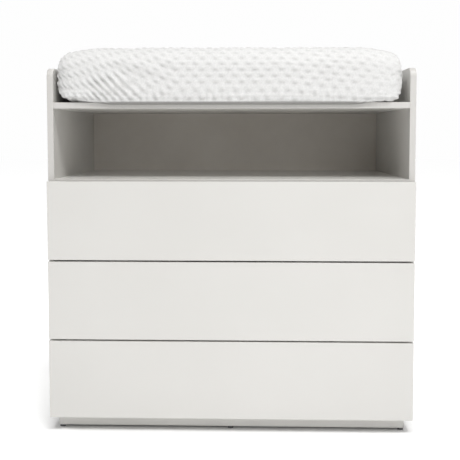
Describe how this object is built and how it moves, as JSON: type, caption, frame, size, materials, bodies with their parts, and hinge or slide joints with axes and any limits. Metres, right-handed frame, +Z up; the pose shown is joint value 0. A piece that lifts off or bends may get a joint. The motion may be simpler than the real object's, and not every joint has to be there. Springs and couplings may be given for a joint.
{
  "type": "changing table",
  "caption": "White changing table with three handleless push-to-open drawers, an open bay and a raised-sided shelf holding a contoured, dotted plush changing pad.",
  "frame": {"origin": "centre of the bounding box at floor level", "axes": "+Z up, -Y towards the drawer fronts, +X to the right seen from the front"},
  "size_m": [0.9, 0.5, 0.9523],
  "materials": {
    "white_lacquer": "satin white lacquer",
    "white_melamine": "matt white melamine",
    "zinc_steel": "zinc plated",
    "grey_plastic": "matt",
    "white_plastic": "satin",
    "beech": "raw",
    "foam": "open-cell foam",
    "dotted_plush": "soft plush with raised dots",
    "elastic": "ribbed"
  },
  "bodies": {
    "cabinet": {"side_panel_left": "white_lacquer", "side_panel_right": "white_lacquer", "pad_shelf": "white_lacquer", "deck_panel": "white_lacquer", "bottom_panel": "white_lacquer", "back_panel": "white_lacquer", "back_rail": "white_lacquer", "plinth_front": "white_lacquer", "plinth_back": "white_lacquer", "plinth_left": "white_lacquer", "plinth_right": "white_lacquer", "floor_glides": "grey_plastic", "cam_locks": "zinc_steel", "cam_bolts": "zinc_steel", "dowels": "beech", "plinth_screws": "zinc_steel", "back_panel_screws": "zinc_steel", "wall_brackets": "zinc_steel", "bracket_screws": "zinc_steel", "runner_screws": "zinc_steel", "push_latches": "grey_plastic", "latch_screws": "zinc_steel", "cabinet_runners_bottom": "zinc_steel", "cabinet_runners_middle": "zinc_steel", "cabinet_runners_top": "zinc_steel"},
    "changing_pad": {"pad_core": "foam", "pad_cover": "dotted_plush", "pad_elastic": "elastic"},
    "drawer_top": {"drawer_front_top": "white_lacquer", "box_front_top": "white_melamine", "box_back_top": "white_melamine", "box_left_top": "white_melamine", "box_right_top": "white_melamine", "box_bottom_top": "white_melamine", "drawer_runners_top": "zinc_steel", "drawer_screws_top": "zinc_steel"},
    "runner_stage_top": {"intermediate_runners_top": "zinc_steel"},
    "latch_stage_top": {"latch_plungers_top": "white_plastic"},
    "drawer_middle": {"drawer_front_middle": "white_lacquer", "box_front_middle": "white_melamine", "box_back_middle": "white_melamine", "box_left_middle": "white_melamine", "box_right_middle": "white_melamine", "box_bottom_middle": "white_melamine", "drawer_runners_middle": "zinc_steel", "drawer_screws_middle": "zinc_steel"},
    "runner_stage_middle": {"intermediate_runners_middle": "zinc_steel"},
    "latch_stage_middle": {"latch_plungers_middle": "white_plastic"},
    "drawer_bottom": {"drawer_front_bottom": "white_lacquer", "box_front_bottom": "white_melamine", "box_back_bottom": "white_melamine", "box_left_bottom": "white_melamine", "box_right_bottom": "white_melamine", "box_bottom_bottom": "white_melamine", "drawer_runners_bottom": "zinc_steel", "drawer_screws_bottom": "zinc_steel"},
    "runner_stage_bottom": {"intermediate_runners_bottom": "zinc_steel"},
    "latch_stage_bottom": {"latch_plungers_bottom": "white_plastic"}
  },
  "joints": [
    {"name": "pad_lift", "type": "slide", "parent": "cabinet", "child": "changing_pad", "axis": [0, 0, 1], "range_m": [0, 0.15]},
    {"name": "drawer_slide_top", "type": "slide", "parent": "cabinet", "child": "drawer_top", "axis": [0, -1, 0], "range_m": [-0.0028, 0.38]},
    {"name": "runner_slide_top", "type": "slide", "parent": "cabinet", "child": "runner_stage_top", "axis": [0, -1, 0], "range_m": [-0.0014, 0.19]},
    {"name": "latch_push_top", "type": "slide", "parent": "cabinet", "child": "latch_stage_top", "axis": [0, -1, 0], "range_m": [-0.0004, 0.038]},
    {"name": "drawer_slide_middle", "type": "slide", "parent": "cabinet", "child": "drawer_middle", "axis": [0, -1, 0], "range_m": [-0.0028, 0.38]},
    {"name": "runner_slide_middle", "type": "slide", "parent": "cabinet", "child": "runner_stage_middle", "axis": [0, -1, 0], "range_m": [-0.0014, 0.19]},
    {"name": "latch_push_middle", "type": "slide", "parent": "cabinet", "child": "latch_stage_middle", "axis": [0, -1, 0], "range_m": [-0.0004, 0.038]},
    {"name": "drawer_slide_bottom", "type": "slide", "parent": "cabinet", "child": "drawer_bottom", "axis": [0, -1, 0], "range_m": [-0.0028, 0.38]},
    {"name": "runner_slide_bottom", "type": "slide", "parent": "cabinet", "child": "runner_stage_bottom", "axis": [0, -1, 0], "range_m": [-0.0014, 0.19]},
    {"name": "latch_push_bottom", "type": "slide", "parent": "cabinet", "child": "latch_stage_bottom", "axis": [0, -1, 0], "range_m": [-0.0004, 0.038]}
  ],
  "couplings": [
    {"joint": "runner_slide_top", "follows": "drawer_slide_top", "ratio": 0.5},
    {"joint": "latch_push_top", "follows": "drawer_slide_top", "ratio": 0.1},
    {"joint": "runner_slide_middle", "follows": "drawer_slide_middle", "ratio": 0.5},
    {"joint": "latch_push_middle", "follows": "drawer_slide_middle", "ratio": 0.1},
    {"joint": "runner_slide_bottom", "follows": "drawer_slide_bottom", "ratio": 0.5},
    {"joint": "latch_push_bottom", "follows": "drawer_slide_bottom", "ratio": 0.1}
  ]
}
